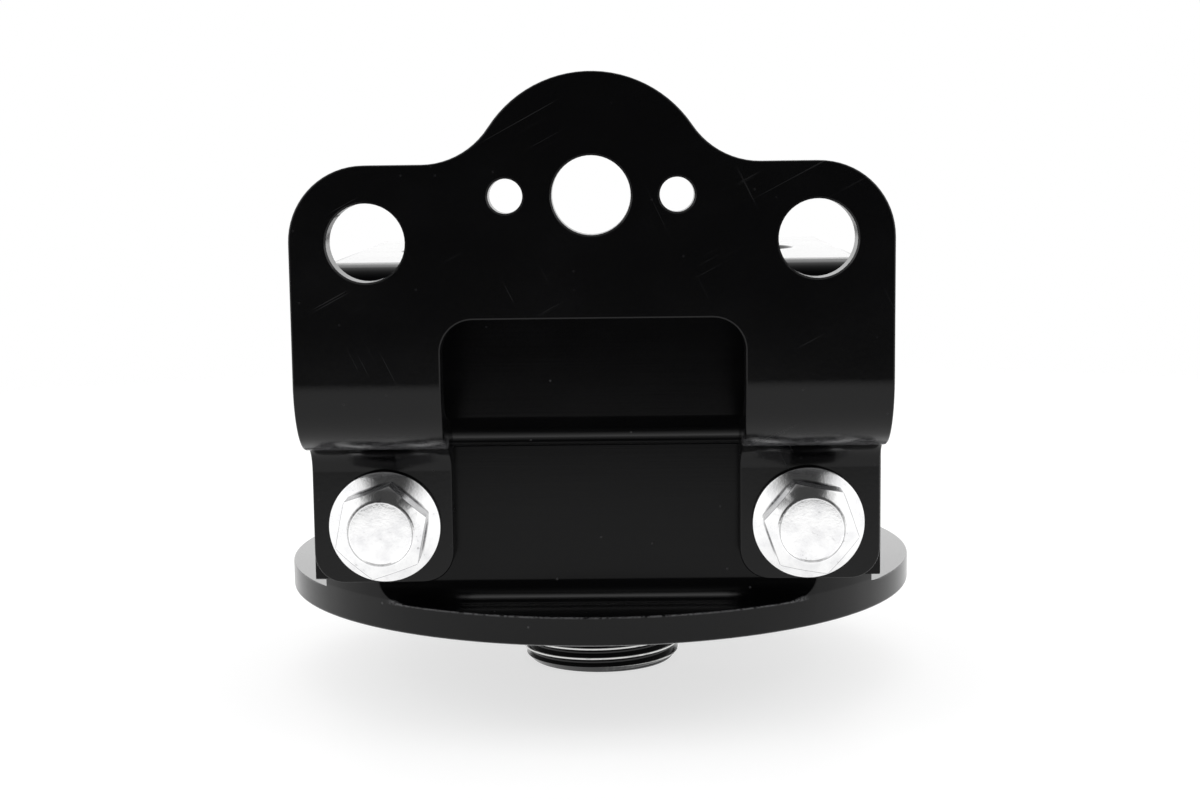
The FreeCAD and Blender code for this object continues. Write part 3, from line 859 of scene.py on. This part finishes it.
@dataclass
class BracketBolts:
    """The two flanged hexagon bolts."""

    spacing: float = 61.3 * MM
    height: float = 16.4 * MM
    seat_y: float = -43.3 * MM
    flange_radius: float = 8.15 * MM
    flange_edge: float = 1.0 * MM
    flange_rise: float = 0.9 * MM
    flats: float = 12.0 * MM
    head: float = 6.4 * MM
    crown_radius: float = 5.0 * MM
    crown_drop: float = 0.9 * MM
    ring_width: float = 0.35 * MM
    dish_depth: float = 0.14 * MM
    dish_wall: float = 0.16 * MM
    crown_width: float = 1.2 * MM
    crown_lift: float = 0.03 * MM
    shank_radius: float = 4.0 * MM
    length: float = 20.0 * MM
    corner_break: float = 0.22 * MM
    sink: float = 0.4 * MM
    thread_pitch: float = 1.25 * MM

    def hexagon(self, turn: float) -> bpy.types.Object:
        """The chamfered hexagon with its raised ring on top.

        Args:
            turn: how far the hexagon is turned, in degrees.

        Returns:
            A closed solid whose foot lies inside the flange.
        """
        stand_clear()
        corner = self.flats / math.sqrt(3.0)
        bpy.ops.mesh.primitive_cylinder_add(
            vertices=6, radius=corner, depth=self.head, location=(0.0, 0.0, self.head / 2.0 + self.sink)
        )
        hexagon = bpy.context.active_object
        settle(hexagon, Matrix.Rotation(math.radians(turn - 90.0), 4, "Z"))
        choose(hexagon, "EDGE", lambda edge: self.is_upright(hexagon, edge))
        bpy.ops.mesh.bevel(offset=self.corner_break, segments=2, affect="EDGES")
        bpy.ops.object.mode_set(mode="OBJECT")
        shoulder = self.head - self.crown_drop
        envelope = lathe("bolt_envelope", [
            (0.0, -1.0 * MM),
            (corner, -1.0 * MM),
            (corner, shoulder),
            (corner * 0.55 + self.crown_radius * 0.45, self.head - self.crown_drop * 0.42),
            (self.crown_radius, self.head - 0.05 * MM),
            (self.crown_radius - 0.12 * MM, self.head),
            (0.0, self.head),
        ])
        carve(hexagon, envelope, Cut.KEEP_SHARED)
        top = self.head - 0.01 * MM
        choose(hexagon, "FACE", lambda face: face.normal.z > 0.99 and face.center.z > top)
        bpy.ops.mesh.dissolve_faces()
        bpy.ops.mesh.inset(thickness=self.ring_width)
        bpy.ops.mesh.inset(thickness=self.dish_wall, depth=-self.dish_depth)
        bpy.ops.mesh.inset(thickness=self.crown_width, depth=self.crown_lift)
        bpy.ops.object.mode_set(mode="OBJECT")
        return hexagon

    @staticmethod
    def is_upright(piece: bpy.types.Object, edge: bpy.types.MeshEdge) -> bool:
        """Whether an edge runs along Z."""
        first, second = (piece.data.vertices[index].co for index in edge.vertices)
        return abs(first.z - second.z) > 1.0 * MM and (first - second).xy.length < 0.1 * MM

    def model(self, hand: Hand) -> bpy.types.Object:
        """One bolt in its place.

        Args:
            hand: which of the pair.

        Returns:
            The finished bolt.
        """
        name, side, turn = hand.value
        bolt = lathe(f"flange_bolt_{name}", [
            (0.0, 0.0),
            (self.flange_radius - 0.25 * MM, 0.0),
            (self.flange_radius, 0.25 * MM),
            (self.flange_radius, self.flange_edge - 0.35 * MM),
            (self.flange_radius - 0.1 * MM, self.flange_edge - 0.12 * MM),
            (self.flange_radius - 0.35 * MM, self.flange_edge),
            (self.flats / 2.0 + 0.5 * MM, self.flange_edge + self.flange_rise * 0.62),
            (self.flats / 2.0 - 0.3 * MM, self.flange_edge + self.flange_rise),
            (0.0, self.flange_edge + self.flange_rise),
        ])
        hexagon = self.hexagon(turn)
        carve(bolt, hexagon, Cut.JOIN)
        shank = threaded_rod(
            "bolt_shank", self.shank_radius, self.shank_radius - 0.7 * MM, self.thread_pitch,
            -self.length, self.sink,
        )
        carve(bolt, shank, Cut.JOIN)
        place = Matrix.Translation((side * self.spacing / 2.0, self.seat_y, self.height))
        settle(bolt, place @ Matrix.Rotation(math.radians(90.0), 4, "X"))
        even_normals(bolt)
        smooth(bolt, 26.0)
        return bolt

    def build(self) -> None:
        """Model both bolts and dress them."""
        for hand in Hand:
            bolt = self.model(hand)
            name, side, turn = hand.value
            zinc = ZincPlate(
                name=f"zinc_plate_{name}",
                centre=(side * self.spacing / 2.0, self.height),
                turn=turn,
                seat_y=self.seat_y,
                half_flats=self.flats / 2.0,
                flange_height=self.flange_edge + self.flange_rise,
                head=self.head,
            )
            dress_piece(bolt, zinc.material(), "zinc_bolt", f"bracket_bolt_{name}")


# ---- studio ---------------------------------------------------------------------------

@dataclass
class Studio:
    """Floor, daylight dome, soft lights and camera."""

    floor_height: float = -14.3 * MM
    floor_radius: float = 0.60
    floor_colour: float = 0.38
    floor_glow: float = 0.67
    fade_from: float = 0.20
    fade_to: float = 0.46
    backdrop: float = 1.0
    front_light: float = 0.05
    dark_width: tuple[float, float] = (0.22, 0.60)
    dark_depth: tuple[float, float] = (-0.80, 0.10)
    back_light: float = 1.15
    eye: tuple[float, float, float] = (3.968 * MM, -321.642 * MM, 70.251 * MM)
    yaw: float = 0.668
    pitch: float = 7.325
    roll: float = 0.697
    lens: float = 58.55
    sensor_width: float = 36.0
    lights: tuple[tuple[str, Point, Point, tuple[float, float], float], ...] = field(default=(
        ("overhead", (0.0, 0.22, 0.60), (0.0, 0.0, 0.0), (0.60, 0.24), 1.0),
        ("left", (-0.62, -0.05, 0.28), (0.0, 0.0, 0.02), (0.40, 0.50), 1.6),
        ("right", (0.62, -0.05, 0.28), (0.0, 0.0, 0.02), (0.40, 0.50), 1.6),
    ))

    def floor(self) -> None:
        """A pale disc that fades into the backdrop and is clear from underneath."""
        stand_clear()
        bpy.ops.mesh.primitive_circle_add(
            vertices=FACETS, radius=self.floor_radius, fill_type="NGON",
            location=(0.0, 0.0, self.floor_height),
        )
        disc = bpy.context.active_object
        disc.name = "floor"
        settle(disc, Matrix.Identity(4))
        bench = Bench("pale_floor")
        x, y, _ = bench.parts(bench.place())
        under = bench.node("ShaderNodeNewGeometry", {}, {})
        near = ((x * x + y * y) ** 0.5).falling(self.fade_from, self.fade_to)
        near = near * (1.0 - Signal(bench, under.outputs["Backfacing"]))
        disc.data.materials.append(bench.surface({
            "Base Color": grey(self.floor_colour),
            "Roughness": 0.9,
            "Specular IOR Level": 0.1,
            "Emission Color": grey(1.0),
            "Emission Strength": self.floor_glow,
            "Alpha": near,
        }))

    def dome(self) -> None:
        """A pale backdrop, with the front of the room a little darker than the rest."""
        bench = RoomBench("studio_dome")
        bpy.context.scene.world = bench.world
        bearing = bench.node("ShaderNodeTexCoord", {}, {})
        x, y, _ = bench.parts(Signal(bench, bearing.outputs["Generated"]))
        dark = abs(x).falling(*self.dark_width) * y.falling(*self.dark_depth)
        light = self.back_light - dark * (self.back_light - self.front_light)
        path = bench.node("ShaderNodeLightPath", {}, {})
        seen = Signal(bench, path.outputs["Is Camera Ray"])
        light = light * (1.0 - seen) + seen * self.backdrop
        background = bench.node("ShaderNodeBackground", {}, {"Color": grey(1.0), "Strength": light})
        end = bench.node("ShaderNodeOutputWorld", {}, {})
        bench.tree.links.new(background.outputs[0], end.inputs["Surface"])

    def lamps(self) -> None:
        """Soft rectangular lights, each aimed at a point."""
        for name, place, aim, size, radiance in self.lights:
            lamp = bpy.data.lights.new(name, "AREA")
            lamp.shape = "RECTANGLE"
            lamp.size, lamp.size_y = size
            lamp.energy = radiance * math.pi * size[0] * size[1]
            made = bpy.data.objects.new(name, lamp)
            made.location = place
            made.rotation_euler = (Vector(aim) - Vector(place)).to_track_quat("-Z", "Y").to_euler()
            bpy.context.scene.collection.objects.link(made)

    def camera(self) -> None:
        """The camera at eye level with the plate, looking a little down."""
        yaw, pitch, roll = (math.radians(angle) for angle in (self.yaw, self.pitch, self.roll))
        level = math.cos(pitch)
        ahead = Vector((-math.sin(yaw) * level, math.cos(yaw) * level, -math.sin(pitch)))
        across = Vector((math.cos(yaw), math.sin(yaw), 0.0))
        upward = across.cross(ahead)
        right = math.cos(roll) * across - math.sin(roll) * upward
        over = right.cross(ahead)
        made = bpy.data.objects.new("studio_camera", bpy.data.cameras.new("studio_camera"))
        made.data.lens = self.lens
        made.data.sensor_width = self.sensor_width
        made.data.clip_start = 0.01
        made.data.clip_end = 20.0
        turn = Matrix((right, over, -ahead)).transposed().to_4x4()
        made.matrix_world = Matrix.Translation(self.eye) @ turn
        bpy.context.scene.collection.objects.link(made)
        bpy.context.scene.camera = made

    def build(self) -> None:
        """Set the whole studio up."""
        self.floor()
        self.dome()
        self.lamps()
        self.camera()
        bpy.context.scene.view_settings.view_transform = "Standard"


def main() -> None:
    """Build every piece in order."""
    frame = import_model()
    FilterHead().build(frame)
    FilterNipple().build()
    Bracket().build(frame)
    BracketBolts().build()
    Studio().build()
    stand_clear()


if __name__ == "__main__":
    main()
